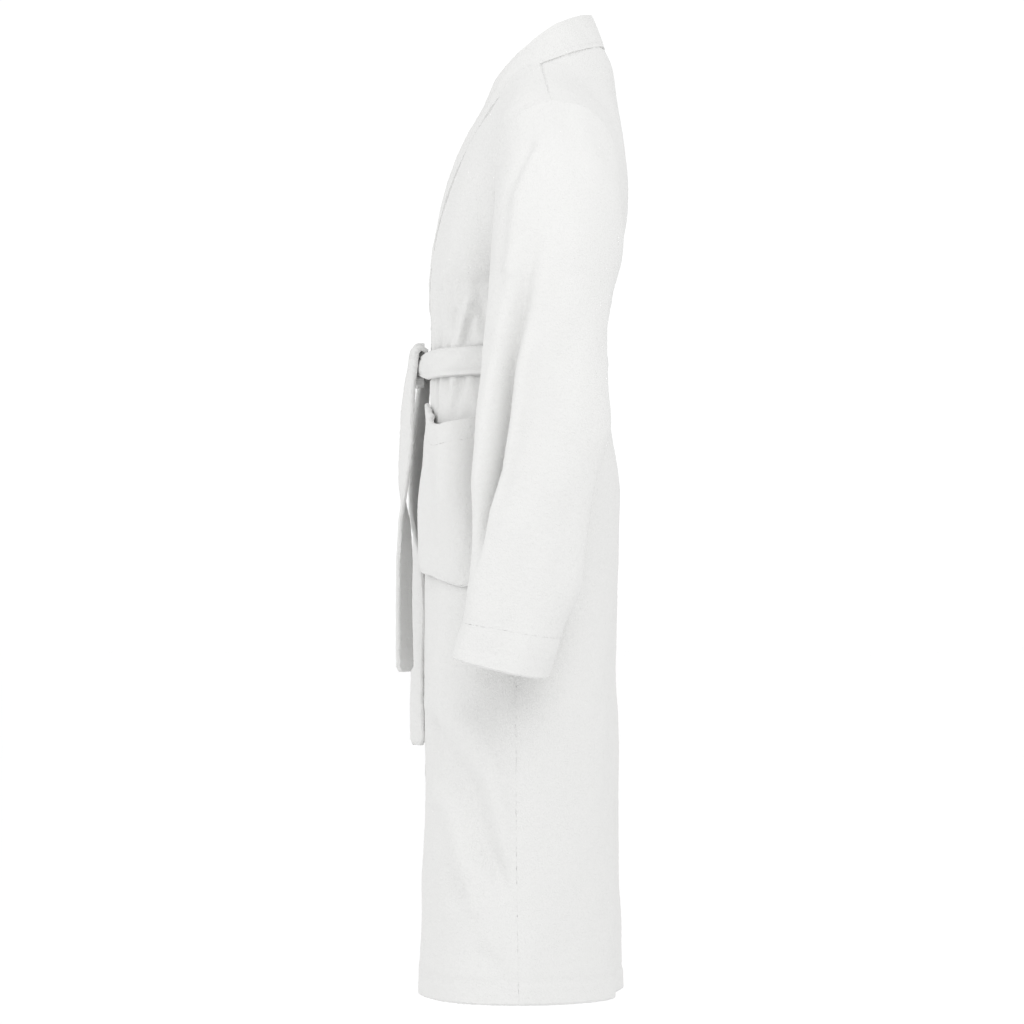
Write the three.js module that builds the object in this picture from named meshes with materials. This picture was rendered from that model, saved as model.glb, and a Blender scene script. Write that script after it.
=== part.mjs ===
// Terry bathrobe, kimono cut, closed left over right and tied with its belt.
// Millimetres. +X is the wearer's left, +Y the wearer's back, +Z up.
// The outlines below are heights above the hem; the last group moves the origin to the centre back neck.
import * as THREE from 'three';

// Driving dimensions
const NECK_HEIGHT = 1200; // centre back neck seam above the hem
const NECK_BACK = 108; // centre back neck seam behind the side-view middle
const CLOTH = 4; // one layer of terry with its loops
const BAND = 6; // folded terry: collar band, belt and hems
const BAND_PROUD = 2; // how far a folded band stands out of the single cloth beside it
const BAND_WIDTH = 55; // collar band, from its seam to its folded edge
const SEAM_GAP = 1; // from a seam to the cloth on either side of it
const HEM_GAP = 0.6; // between a pocket and the folded hem of its mouth
const TUCK = 8.5; // how far the right front lies under the left one
const TUCK_EDGE = -64; // the left front covers the right one up to here
const TUCK_FADE = 45; // width over which the right front comes back to the surface
const SQUARE = 0.7; // roundness of the body's section, 0.55 is an ellipse
const NECK_START = 1000; // height where the two collar bands part
const NECK_END = 1100; // height where both lie on the same surface

const BELT_BOTTOM = 779;
const BELT_TOP = 817;
const BELT_OFF = 3.5; // belt's inner face off the cloth
const SIDE_STATIONS = 7; // outline steps from hem to underarm
const STATIONS = 13; // outline steps from hem to shoulder
const SLEEVE_END = 0.93; // where the sleeve cloth ends and the cuff hem begins, as a share of the sleeve
const CUFF_GAP = 0.002; // the same share, left open between the two

const POCKET = { from: 0.14, to: 0.83, top: 746, sag: 22, bottom: 531, tilt: 17, corner: 42, hem: 28,
  off: 1.9, room: 5, gape: 17, gapeAt: 0.64, width: 188 };
const LOOP = { width: 12, thick: 2.5, low: 750, high: 846, reach: 188 };
const HANGER = { halfWidth: 24, drop: 40, thick: 2, tape: 10, y: 96, top: 1197 };
const KNOT = { x: -3, y: -132, z: 798, halfX: 27, halfY: 8, halfZ: 21 };
const TAIL_WIDTH = 42;
const NECK_LABEL = { size: [44, 1, 24], place: [0, 116, 1135] };
const CARE_LABEL = { size: [1, 32, 48], place: [219, 8, 420] };

const v3 = (x, y, z) => new THREE.Vector3(x, y, z);
const outline = (...points) => new THREE.CatmullRomCurve3(points.map((p) => v3(...p)));
const smooth = (t) => THREE.MathUtils.smoothstep(t, 0, 1);
const mix = THREE.MathUtils.lerp;

// Outlines of the left half. A step of one outline faces the same step of its neighbour.
const sideSeam = outline(
  [250, -2, 0], [239, -5, 200], [229, -5, 450], [216, -4, 640],
  [194, 1, 718], [173, 5, 770], [173, 11, 824], [192, 32, 893]);
const armholeFront = outline(
  [192, 32, 893], [200, -6, 905], [213, -27, 948], [226, -31, 1003],
  [238, -26, 1058], [247, -2, 1099], [250, 38, 1115]);
const armholeBack = outline(
  [192, 32, 893], [200, 76, 903], [213, 110, 945], [226, 121, 1003],
  [238, 116, 1062], [247, 84, 1104], [250, 38, 1115]);
const centreBack = outline(
  [0, 129, 0], [0, 124, 200], [0, 123, 450], [0, 126, 640], [0, 116, 712], [0, 103, 770], [0, 103, 824],
  [0, 118, 893], [0, 129, 940], [0, 136, 990], [0, 137, 1045], [0, 132, 1100], [0, 125, 1155],
  [0, NECK_BACK, NECK_HEIGHT]);
const backNeck = outline([0, NECK_BACK, NECK_HEIGHT], [57, 98, 1198], [99, 66, 1187], [114, 26, 1172]);
const bandSeam = outline(
  [-2, -130, 0], [-1, -121, 200], [0, -121.5, 450], [2, -117, 640], [4, -113.5, 718],
  [8, -112.5, 770], [14, -113, 824], [32, -114, 893], [50, -108, 950], [68, -93, 1006],
  [86, -71, 1058], [100, -42, 1108], [110, -10, 1148], [114, 26, 1172],
  [99, 66, 1187], [57, 98, 1198], [0, NECK_BACK, NECK_HEIGHT]);
const bandEdge = outline(
  [-57, -128, 0], [-56, -119, 200], [-55, -119.5, 450], [-53, -115, 640], [-50, -112, 718],
  [-46, -111, 770], [-39, -112, 826], [-21, -113, 909], [-3, -105, 980], [15, -90, 1034],
  [34, -69, 1084], [50, -44, 1130], [65, -17, 1175], [75, 13, 1205],
  [69, 48, 1229], [41, 78, 1241], [0, 91, 1245]);

// Outlines of the left sleeve, from the armhole to the wrist.
const sleeveFront = outline(
  [226, -31, 1003], [262, -33, 950], [286, -36, 880], [296, -45, 800],
  [298, -52, 700], [298, -59, 610], [297, -68, 520], [296, -83, 431]);
const sleeveBack = outline(
  [226, 121, 1003], [264, 126, 950], [290, 112, 880], [299, 106, 800],
  [300, 110, 705], [300, 86, 615], [298, 69, 505], [296, 36, 404]);
const sleeveOuter = outline(
  [250, 38, 1115], [318, 42, 1050], [346, 40, 950], [352, 34, 830],
  [352, 28, 705], [349, 12, 612], [346, -2, 515], [342, -24, 413]);
const sleeveInner = outline(
  [192, 32, 893], [212, 40, 866], [226, 40, 830], [236, 36, 780],
  [242, 28, 700], [245, 12, 610], [248, -2, 515], [252, -24, 419]);

const paint = {
  terry: { color: 0xf1f1ef, roughness: 0.95, metalness: 0 },
  folded: { color: 0xededeb, roughness: 0.95, metalness: 0 },
  tape: { color: 0xe6e6e2, roughness: 0.8, metalness: 0 },
};

const group = new THREE.Group();
group.position.set(0, -NECK_BACK, -NECK_HEIGHT);

function add(name, geometry, look = paint.terry) {
  const mesh = new THREE.Mesh(geometry, new THREE.MeshStandardMaterial(look));
  mesh.name = name;
  group.add(mesh);
  return mesh;
}

// Unit normals of a grid of points, from its neighbours along and across.
function gridNormals(grid, wrap) {
  const rows = grid.length;
  const cols = grid[0].length;
  return grid.map((row, i) => row.map((_, j) => {
    const up = grid[Math.min(i + 1, rows - 1)][j].clone().sub(grid[Math.max(i - 1, 0)][j]);
    const right = wrap ? (j + 1) % cols : Math.min(j + 1, cols - 1);
    const left = wrap ? (j + cols - 1) % cols : Math.max(j - 1, 0);
    return row[right].clone().sub(row[left]).cross(up).normalize();
  }));
}

// A closed piece of cloth over a grid of points: its outer face lies lift off the grid along the grid's
// normal, its inner face thickness below that, and a rim joins the two along every open edge. lean may
// turn the normal at a seam, so that the cloths on its two sides meet in one plane.
function cloth(grid, { thickness = CLOTH, lift = () => 0, wrap = false, flip = false, lean = (n) => n } = {}) {
  const rows = grid.length;
  const cols = grid[0].length;
  const side = flip ? -1 : 1;
  const normals = gridNormals(grid, wrap).map((row, i) => row.map((n, j) => lean(n, i / (rows - 1), grid[i][j])));
  const position = [];
  for (const depth of [0, thickness]) {
    grid.forEach((row, i) => row.forEach((point, j) => {
      const off = side * (lift(point, i, j) - depth);
      position.push(...point.clone().addScaledVector(normals[i][j], off));
    }));
  }
  const at = (face, i, j) => face * rows * cols + i * cols + (j % cols);
  const index = [];
  const quad = (a, b, c, d) => index.push(a, b, c, a, c, d);
  const spans = wrap ? cols : cols - 1;
  for (let i = 0; i < rows - 1; i++) {
    for (let j = 0; j < spans; j++) {
      quad(at(0, i, j), at(0, i, j + 1), at(0, i + 1, j + 1), at(0, i + 1, j));
      quad(at(1, i, j), at(1, i + 1, j), at(1, i + 1, j + 1), at(1, i, j + 1));
    }
  }
  for (let j = 0; j < spans; j++) {
    quad(at(0, 0, j), at(1, 0, j), at(1, 0, j + 1), at(0, 0, j + 1));
    quad(at(0, rows - 1, j), at(0, rows - 1, j + 1), at(1, rows - 1, j + 1), at(1, rows - 1, j));
  }
  for (let i = 0; !wrap && i < rows - 1; i++) {
    quad(at(0, i, 0), at(0, i + 1, 0), at(1, i + 1, 0), at(1, i, 0));
    quad(at(0, i, cols - 1), at(1, i, cols - 1), at(1, i + 1, cols - 1), at(0, i + 1, cols - 1));
  }
  if (flip) index.reverse();
  const geometry = new THREE.BufferGeometry();
  geometry.setAttribute('position', new THREE.Float32BufferAttribute(position, 3));
  geometry.setIndex(index);
  geometry.computeVertexNormals();
  return geometry;
}

const makeGrid = (rows, cols, point) =>
  Array.from({ length: rows + 1 }, (_, i) =>
    Array.from({ length: cols + 1 }, (_, j) => point(i / rows, j / cols)));

const mirrorGrid = (grid) => grid.map((row) => row.map((p) => v3(-p.x, p.y, p.z)));

// The outer border of a body panel at station t: the side seam, then one side of the armhole.
function border(armhole, t) {
  return t <= SIDE_STATIONS
    ? sideSeam.getPoint(t / SIDE_STATIONS)
    : armhole.getPoint((t - SIDE_STATIONS) / (STATIONS - SIDE_STATIONS));
}

// One quarter of the body's section, from start at its middle to end at its side. flat 1 is a straight line.
function quarter(start, end, flat, u) {
  const d = end.clone().sub(start);
  const first = v3(mix(SQUARE, 1 / 3, flat) * d.x, mix(0, 1 / 3, flat) * d.y, d.z / 3).add(start);
  const last = end.clone().sub(v3(mix(0, 1 / 3, flat) * d.x, mix(SQUARE, 1 / 3, flat) * d.y, d.z / 3));
  return new THREE.CubicBezierCurve3(start, first, last, end).getPoint(u);
}

const flatness = (t) => smooth(Math.max(0, (t - SIDE_STATIONS) / (STATIONS - SIDE_STATIONS)));

// A point of the left front's surface, from the band seam (u 0) to the side (u 1).
function frontPoint(t, u) {
  return quarter(bandSeam.getPoint(t / 16), border(armholeFront, t), flatness(t), u);
}

// A point of the left half of the back, whose top edge is the neck seam and the shoulder seam.
function backPoint(t, u) {
  const NECK_SHARE = 0.45;
  const end = border(armholeBack, t);
  const plain = quarter(centreBack.getPoint(t / STATIONS), end, flatness(t), u);
  const top = u < NECK_SHARE
    ? backNeck.getPoint(u / NECK_SHARE)
    : backNeck.getPoint(1).lerp(armholeBack.getPoint(1), (u - NECK_SHARE) / (1 - NECK_SHARE));
  const topPlain = quarter(centreBack.getPoint(1), armholeBack.getPoint(1), 1, u);
  return plain.addScaledVector(top.sub(topPlain), smooth((t - STATIONS + 2) / 2) ** 2);
}

// The right front lies under the left one where they overlap.
const tuck = (p) => TUCK * smooth((p.x - TUCK_EDGE + TUCK_FADE) / TUCK_FADE)
  * (1 - THREE.MathUtils.smoothstep(p.z, NECK_START, NECK_END));

// Turns a panel's normal at the side seams and the shoulder seams, where front and back meet.
function leanAtSeam(n, r, p) {
  const SHOULDER = v3(57, 0, 136).normalize();
  const atSide = Math.abs(p.x) > border(armholeFront, r * STATIONS).x - 3 * SEAM_GAP;
  const turned = r === 1 ? SHOULDER.clone() : v3(1, 0, 0);
  if (r === 1 ? Math.abs(p.x) < 110 : !atSide || r * STATIONS > SIDE_STATIONS) return n;
  turned.x *= Math.sign(p.x);
  return n.dot(turned) < 0 ? turned.negate() : turned;
}

// Pulls a point in from the seams of its panel: from u 0 and 1 sideways, and from the shoulder downwards.
function seamGap(point, t, u) {
  const p = point(t, u);
  const toSide = point(t, 0.98).sub(point(t, 0.02)).normalize();
  p.addScaledVector(toSide, SEAM_GAP * (u === 0 ? 1 : u === 1 ? -1 : 0));
  if (t === STATIONS) p.add(point(t - 0.05, u).sub(point(t, u)).setLength(SEAM_GAP));
  return p;
}

function bodyPanels() {
  const ROWS = 22;
  const COLS = 10;
  const front = makeGrid(ROWS, COLS, (r, c) => seamGap(frontPoint, r * STATIONS, c));
  add('left_front_panel', cloth(front, { lean: leanAtSeam }));
  add('right_front_panel', cloth(mirrorGrid(front), { flip: true, lift: (p) => -tuck(p), lean: leanAtSeam }));
  const back = makeGrid(ROWS, COLS * 2, (r, c) => {
    const p = seamGap(backPoint, r * STATIONS, Math.abs(c * 2 - 1));
    return v3(c === 0.5 ? 0 : p.x * Math.sign(0.5 - c), p.y, p.z);
  });
  add('back_panel', cloth(back, { lean: leanAtSeam }));
}

function collarBands() {
  const band = makeGrid(32, 2, (r, c) => {
    const seam = bandSeam.getPoint(r);
    const edge = bandEdge.getPoint(r);
    return seam.lerp(edge, mix(SEAM_GAP / BAND_WIDTH, 1, c));
  });
  band.at(-1).forEach((p) => { p.x = SEAM_GAP; });
  const lean = (n, r) => (r === 1 ? v3(0, n.y, n.z).normalize() : n);
  add('left_collar_band',
    cloth(band, { thickness: BAND, lift: () => BAND_PROUD, flip: true, lean }), paint.folded);
  add('right_collar_band',
    cloth(mirrorGrid(band), { thickness: BAND, lift: (p) => BAND_PROUD - tuck(p), lean }), paint.folded);
}

// A point of the armhole at an angle from its front, by way of its top.
function armholePoint(angle) {
  const share = (angle + Math.PI / 2) / Math.PI;
  return share <= 1 ? armholeFront.getPoint(share) : armholeBack.getPoint(2 - share);
}

// A ring of the sleeve at s: four outlines joined by rounded quarters, growing out of the armhole.
function sleevePoint(s, angle) {
  const [front, outer, back, inner] =
    [sleeveFront, sleeveOuter, sleeveBack, sleeveInner].map((curve) => curve.getPoint(s));
  const middle = front.clone().add(outer).add(back).add(inner).multiplyScalar(0.25);
  const ROUND = 0.88;
  const c = Math.cos(angle);
  const a = Math.sin(angle);
  const along = (c > 0 ? front : back).clone().sub(middle).multiplyScalar(Math.abs(c) ** ROUND);
  const out = (a > 0 ? outer : inner).clone().sub(middle).multiplyScalar(Math.abs(a) ** ROUND);
  const ring = middle.add(along).add(out);
  return armholePoint(angle).lerp(ring, smooth(s / 0.15));
}

function sleeves() {
  const AROUND = 18;
  const ring = (rows, from, to) => Array.from({ length: rows + 1 }, (_, i) =>
    Array.from({ length: AROUND }, (_, j) => {
      const s = mix(from, to, i / rows);
      const off = i === 0 && from === 0 ? 2 * SEAM_GAP : 0;
      return sleevePoint(s, (j / AROUND - 0.25) * Math.PI * 2).add(v3(off, 0, 0));
    }));
  const sleeve = ring(14, 0, SLEEVE_END);
  const cuff = ring(2, SLEEVE_END + CUFF_GAP, 1);
  for (const [side, mirrored] of [['left', false], ['right', true]]) {
    const place = (grid) => (mirrored ? mirrorGrid(grid) : grid);
    add(`${side}_sleeve`, cloth(place(sleeve), { wrap: true, flip: !mirrored }));
    add(`${side}_cuff_hem`, cloth(place(cuff),
      { wrap: true, flip: !mirrored, thickness: BAND, lift: () => BAND_PROUD }), paint.folded);
  }
}

// The station whose row of the front lies at height z.
function stationAt(z, u) {
  let low = 0;
  let high = SIDE_STATIONS;
  for (let i = 0; i < 30; i++) {
    const middle = (low + high) / 2;
    if (frontPoint(middle, u).z < z) low = middle;
    else high = middle;
  }
  return low;
}

// Patch pockets: sewn down at the sides and the rounded bottom, open and sagging at the mouth. They
// hang a little lower towards the side seam.
function pockets() {
  const inset = (up) => POCKET.corner * (1 - Math.sqrt(1 - Math.max(0, 1 - up / POCKET.corner) ** 2));
  const mouth = (c) => POCKET.top - POCKET.sag * Math.sin(Math.PI * c);
  const point = (z, c) => {
    const narrow = inset(z - POCKET.bottom) / POCKET.width;
    const u = mix(POCKET.from, POCKET.to, mix(narrow, 1 - narrow, c));
    return frontPoint(stationAt(z - POCKET.tilt * c, u), u);
  };
  const patch = makeGrid(9, 9, (r, c) => point(mix(POCKET.bottom, mouth(c) - POCKET.hem, r), c));
  const hem = makeGrid(1, 9, (r, c) => point(mouth(c) - (POCKET.hem - HEM_GAP) * (1 - r), c));
  const room = (rows, i, j) => (POCKET.room + POCKET.gape * smooth(1 - Math.abs(j / 9 - POCKET.gapeAt) * 3))
    * smooth(Math.min(j, 9 - j) / 1.4) * (rows ? smooth(i / rows) : 1);
  const base = POCKET.off + CLOTH;
  for (const [side, mirrored] of [['left', false], ['right', true]]) {
    const place = (grid) => (mirrored ? mirrorGrid(grid) : grid);
    const lower = (p) => (mirrored ? tuck(p) : 0);
    add(`${side}_pocket`, cloth(place(patch),
      { flip: mirrored, lift: (p, i, j) => base + room(1.6, i, j) - lower(p) }));
    add(`${side}_pocket_hem`, cloth(place(hem),
      { flip: mirrored, thickness: BAND, lift: (p, i, j) => base + BAND_PROUD + room(0, i, j) - lower(p) }),
    paint.folded);
  }
}

// The belt's line around the waist, one full turn.
function waistLine(count) {
  const STATION = 5.5;
  return Array.from({ length: count }, (_, j) => {
    const turn = (j / count) * 4;
    const part = Math.floor(turn);
    const u = part % 2 ? 1 - (turn - part) : turn - part;
    const back = part === 1 || part === 2;
    const middle = centreBack.getPoint(STATION / STATIONS);
    const start = back ? middle : v3(0, bandSeam.getPoint(STATION / 16).y, middle.z);
    const p = quarter(start, sideSeam.getPoint(STATION / SIDE_STATIONS), 0, u);
    return v3(part > 1 ? -p.x : p.x, p.y, 0);
  });
}

function belt() {
  const line = waistLine(36);
  const rows = [BELT_BOTTOM, BELT_TOP].map((z) => line.map((p) => v3(p.x, p.y, z)));
  add('waist_belt', cloth(rows, { wrap: true, thickness: BAND, lift: () => BELT_OFF + BAND }), paint.folded);
  const knot = new THREE.SphereGeometry(1, 14, 10).scale(KNOT.halfX, KNOT.halfY, KNOT.halfZ);
  add('belt_knot', knot, paint.folded).position.set(KNOT.x, KNOT.y, KNOT.z);
}

// A belt end hanging from the knot: a strip turned about the vertical by its own angle.
function beltTail(name, line, turn) {
  const across = v3(Math.cos(turn), Math.sin(turn), 0);
  const grid = makeGrid(10, 2, (r, c) =>
    line.getPoint(1 - r).addScaledVector(across, (c - 0.5) * TAIL_WIDTH));
  add(name, cloth(grid, { thickness: BAND, lift: () => BAND / 2 }), paint.folded);
}

function beltTails() {
  beltTail('belt_tail_left', outline([16, -134, 775], [18, -141, 735], [19, -143, 600], [20, -142, 404]), -0.5);
  beltTail('belt_tail_right', outline([-28, -132, 775], [-32, -133, 735], [-33, -134, 540], [-34, -134, 308]), 0.28);
}

// A narrow strap sewn to the side seam above and below the belt.
function beltLoops() {
  const foot = (z) => {
    let t = 4;
    while (sideSeam.getPoint(t / SIDE_STATIONS).z < z) t += 0.02;
    return sideSeam.getPoint(t / SIDE_STATIONS).x + 1.5;
  };
  const inner = [
    [foot(LOOP.low), LOOP.low], [foot(LOOP.low + 14), LOOP.low + 14], [LOOP.reach - LOOP.thick, BELT_BOTTOM - 3],
    [LOOP.reach - LOOP.thick, BELT_TOP + 3], [foot(LOOP.high - 14), LOOP.high - 14], [foot(LOOP.high), LOOP.high]];
  const outer = inner.map(([x, z]) => [x + LOOP.thick, z]).reverse();
  for (const [side, sign] of [['left', 1], ['right', -1]]) {
    const shape = new THREE.Shape([...inner, ...outer].map(([x, z]) => new THREE.Vector2(sign * x, z)));
    const strap = new THREE.ExtrudeGeometry(shape, { depth: LOOP.width, bevelEnabled: false });
    strap.rotateX(Math.PI / 2).translate(0, 9 + LOOP.width / 2, 0);
    add(`${side}_belt_loop`, strap, paint.folded);
  }
}

// A tape loop sewn into the back neck seam, hanging inside the neck.
function hangerLoop() {
  const { halfWidth, drop, thick, tape, y, top } = HANGER;
  const BEND = 6;
  const bottom = top - drop;
  const shape = new THREE.Shape();
  shape.moveTo(-halfWidth, top);
  shape.lineTo(-halfWidth, bottom + BEND);
  shape.lineTo(-halfWidth + BEND, bottom);
  shape.lineTo(halfWidth - BEND, bottom);
  shape.lineTo(halfWidth, bottom + BEND);
  shape.lineTo(halfWidth, top);
  shape.lineTo(halfWidth - thick, top);
  shape.lineTo(halfWidth - thick, bottom + BEND + thick / 2);
  shape.lineTo(halfWidth - BEND - thick / 2, bottom + thick);
  shape.lineTo(-halfWidth + BEND + thick / 2, bottom + thick);
  shape.lineTo(-halfWidth + thick, bottom + BEND + thick / 2);
  shape.lineTo(-halfWidth + thick, top);
  const strap = new THREE.ExtrudeGeometry(shape, { depth: tape, bevelEnabled: false });
  strap.rotateX(Math.PI / 2).translate(0, y + tape / 2, 0);
  add('hanger_loop', strap, paint.tape);
}

// Blank woven labels, one inside the back neck and one in the left side seam.
function labels() {
  for (const [name, { size, place }] of [['neck_label', NECK_LABEL], ['care_label', CARE_LABEL]]) {
    add(name, new THREE.BoxGeometry(...size), paint.tape).position.set(...place);
  }
}

bodyPanels();
collarBands();
sleeves();
pockets();
belt();
beltTails();
beltLoops();
hangerLoop();
labels();

export default group;
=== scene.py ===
"""Terry bathrobe, closed left over right and tied with its belt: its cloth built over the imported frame."""

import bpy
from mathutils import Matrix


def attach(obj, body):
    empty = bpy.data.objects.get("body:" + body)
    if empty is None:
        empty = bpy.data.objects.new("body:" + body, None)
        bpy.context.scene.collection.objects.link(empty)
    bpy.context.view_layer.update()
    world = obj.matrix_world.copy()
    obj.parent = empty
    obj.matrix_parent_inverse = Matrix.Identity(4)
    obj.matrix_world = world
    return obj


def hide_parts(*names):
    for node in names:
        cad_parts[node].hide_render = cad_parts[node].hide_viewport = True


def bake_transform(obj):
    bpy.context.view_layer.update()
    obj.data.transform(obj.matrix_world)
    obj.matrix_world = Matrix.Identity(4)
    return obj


bl_info = {
    "name": "Terry Bathrobe",
    "version": (1, 0, 0),
    "blender": (4, 5, 0),
    "location": "View3D > Sidebar > Bathrobe",
    "description": "Builds a tied terry bathrobe and its studio",
    "category": "Add Mesh",
}

import bpy
import numpy as np
from bpy.props import FloatProperty, FloatVectorProperty, PointerProperty
from mathutils import Vector

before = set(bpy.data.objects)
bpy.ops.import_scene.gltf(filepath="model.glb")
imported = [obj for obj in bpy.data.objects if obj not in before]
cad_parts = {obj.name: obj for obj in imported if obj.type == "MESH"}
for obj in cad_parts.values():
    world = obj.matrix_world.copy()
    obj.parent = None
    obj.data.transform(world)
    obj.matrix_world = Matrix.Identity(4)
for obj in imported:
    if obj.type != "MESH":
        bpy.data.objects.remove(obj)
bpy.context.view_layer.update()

MM = 0.001


# ------------------------------------------------------------------ outlines

# Metres above the hem and from the middle of the side view; ORIGIN is the frame's origin in them,
# the centre back neck seam. Each left outline is mirrored for the right half.
ORIGIN = np.array((0.0, 0.108, 1.2))
SQUARE = 0.7  # roundness of the body's section, 0.55 is an ellipse
SIDE_STATIONS = 7  # outline steps from hem to underarm
STATIONS = 13  # outline steps from hem to shoulder
BAND_STATIONS = 16  # outline steps from hem to centre back, along the band
BELT_STATION = 5.5  # the outline step at the belt's middle
SLEEVE_END = 0.93  # where the sleeve cloth ends and the cuff hem begins
NECK_SHARE = 0.45  # the neck seam's share of the back's top edge
BELT = (0.779, 0.817)  # lower and upper edge of the belt
TUCK = 8.5 * MM  # how far the right front lies under the left one
TUCK_EDGE = 0.064  # how far across the middle the left front's edge lies
TUCK_FADE = 0.045  # width over which the right front comes out from under it
TUCK_TOP = (1.0, 0.1)  # height where the fronts part, and over how much


def spline(*points):
    """A smooth curve through the points; the result takes shares 0 to 1 of its steps."""
    p = np.array(points, float)
    p = np.vstack([2 * p[0] - p[1], p, 2 * p[-1] - p[-2]])

    def at(share):
        x = np.clip(np.asarray(share, float), 0, 1) * (len(p) - 3)
        i = np.minimum(x.astype(int), len(p) - 4)
        w = (x - i)[..., None]
        a, b, c, d = (p[i + k] for k in range(4))
        ab, bc, cd = (np.linalg.norm(v, axis=-1, keepdims=True) ** 0.5 for v in (b - a, c - b, d - c))
        leave = ((b - a) / ab - (c - a) / (ab + bc) + (c - b) / bc) * bc
        arrive = ((c - b) / bc - (d - b) / (bc + cd) + (d - c) / cd) * bc
        rise = 3 * w**2 - 2 * w**3
        return (1 - rise) * b + rise * c + (w**3 - 2 * w**2 + w) * leave + (w**3 - w**2) * arrive

    return at


side_seam = spline(
    (0.250, -0.002, 0), (0.239, -0.005, 0.2), (0.229, -0.005, 0.45), (0.216, -0.004, 0.64),
    (0.194, 0.001, 0.718), (0.173, 0.005, 0.77), (0.173, 0.011, 0.824), (0.192, 0.032, 0.893))
armhole_front = spline(
    (0.192, 0.032, 0.893), (0.200, -0.006, 0.905), (0.213, -0.027, 0.948), (0.226, -0.031, 1.003),
    (0.238, -0.026, 1.058), (0.247, -0.002, 1.099), (0.250, 0.038, 1.115))
armhole_back = spline(
    (0.192, 0.032, 0.893), (0.200, 0.076, 0.903), (0.213, 0.110, 0.945), (0.226, 0.121, 1.003),
    (0.238, 0.116, 1.062), (0.247, 0.084, 1.104), (0.250, 0.038, 1.115))
centre_back = spline(
    (0, 0.129, 0), (0, 0.124, 0.2), (0, 0.123, 0.45), (0, 0.126, 0.64), (0, 0.116, 0.712), (0, 0.103, 0.77),
    (0, 0.103, 0.824), (0, 0.118, 0.893), (0, 0.129, 0.94), (0, 0.136, 0.99), (0, 0.137, 1.045),
    (0, 0.132, 1.1), (0, 0.125, 1.155), (0, 0.108, 1.2))
back_neck = spline((0, 0.108, 1.2), (0.057, 0.098, 1.198), (0.099, 0.066, 1.187), (0.114, 0.026, 1.172))
band_seam = spline(
    (-0.002, -0.130, 0), (-0.001, -0.121, 0.2), (0, -0.1215, 0.45), (0.002, -0.117, 0.64),
    (0.004, -0.1135, 0.718), (0.008, -0.1125, 0.77), (0.014, -0.113, 0.824), (0.032, -0.114, 0.893),
    (0.050, -0.108, 0.95), (0.068, -0.093, 1.006), (0.086, -0.071, 1.058), (0.100, -0.042, 1.108),
    (0.110, -0.010, 1.148), (0.114, 0.026, 1.172), (0.099, 0.066, 1.187), (0.057, 0.098, 1.198),
    (0, 0.108, 1.2))
band_edge = spline(
    (-0.057, -0.128, 0), (-0.056, -0.119, 0.2), (-0.055, -0.1195, 0.45), (-0.053, -0.115, 0.64),
    (-0.050, -0.112, 0.718), (-0.046, -0.111, 0.77), (-0.039, -0.112, 0.826), (-0.021, -0.113, 0.909),
    (-0.003, -0.105, 0.98), (0.015, -0.090, 1.034), (0.034, -0.069, 1.084), (0.050, -0.044, 1.13),
    (0.065, -0.017, 1.175), (0.075, 0.013, 1.205), (0.069, 0.048, 1.229), (0.041, 0.078, 1.241),
    (0, 0.091, 1.245))
sleeve_front = spline(
    (0.226, -0.031, 1.003), (0.262, -0.033, 0.95), (0.286, -0.036, 0.88), (0.296, -0.045, 0.8),
    (0.298, -0.052, 0.7), (0.298, -0.059, 0.61), (0.297, -0.068, 0.52), (0.296, -0.083, 0.431))
sleeve_back = spline(
    (0.226, 0.121, 1.003), (0.264, 0.126, 0.95), (0.290, 0.112, 0.88), (0.299, 0.106, 0.8),
    (0.300, 0.110, 0.705), (0.300, 0.086, 0.615), (0.298, 0.069, 0.505), (0.296, 0.036, 0.404))
sleeve_outer = spline(
    (0.250, 0.038, 1.115), (0.318, 0.042, 1.05), (0.346, 0.040, 0.95), (0.352, 0.034, 0.83),
    (0.352, 0.028, 0.705), (0.349, 0.012, 0.612), (0.346, -0.002, 0.515), (0.342, -0.024, 0.413))
sleeve_inner = spline(
    (0.192, 0.032, 0.893), (0.212, 0.040, 0.866), (0.226, 0.040, 0.83), (0.236, 0.036, 0.78),
    (0.242, 0.028, 0.7), (0.245, 0.012, 0.61), (0.248, -0.002, 0.515), (0.252, -0.024, 0.419))


# ------------------------------------------------------------------ numbers

def smooth(x):
    x = np.clip(x, 0, 1)
    return x * x * (3 - 2 * x)


def bump(x, width):
    """1 at x 0, falling to nothing about one width away."""
    return np.exp(-((x / width) ** 2))


def unit(v):
    return v / np.maximum(np.linalg.norm(v, axis=-1, keepdims=True), 1e-12)


def waves(p, size, seed, upright=1.0):
    """Soft seeded noise of about plus and minus 1. upright stretches its shapes along the height."""
    rng = np.random.default_rng(seed)
    total = np.zeros(p.shape[:-1])
    for _ in range(28):
        k = rng.normal(size=3) * (1, 1, 1 / upright)
        k *= 2 * np.pi / (size * rng.uniform(0.75, 1.5) * np.linalg.norm(k))
        total += np.sin(p @ k + rng.uniform(0, 2 * np.pi))
    return total / np.sqrt(14)


def crease(p, line, width):
    """How near each point lies, in the side view, to a line of (depth, height) points; fades at its ends."""
    line = np.array(line, float)
    q = p[..., 1:]
    best = np.full(p.shape[:-1], 9.0)
    for a, b in zip(line, line[1:]):
        share = np.clip(((q - a) @ (b - a)) / ((b - a) @ (b - a)), 0, 1)
        best = np.minimum(best, np.linalg.norm(q - (a + share[..., None] * (b - a)), axis=-1))
    return bump(best, width)


# ------------------------------------------------------------------ cloth meshes

def grid_normals(grid, wrap=False):
    if wrap:
        across = np.roll(grid, -1, 1) - np.roll(grid, 1, 1)
    else:
        across = np.gradient(grid, axis=1)
    return unit(np.cross(across, np.gradient(grid, axis=0)))


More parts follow.
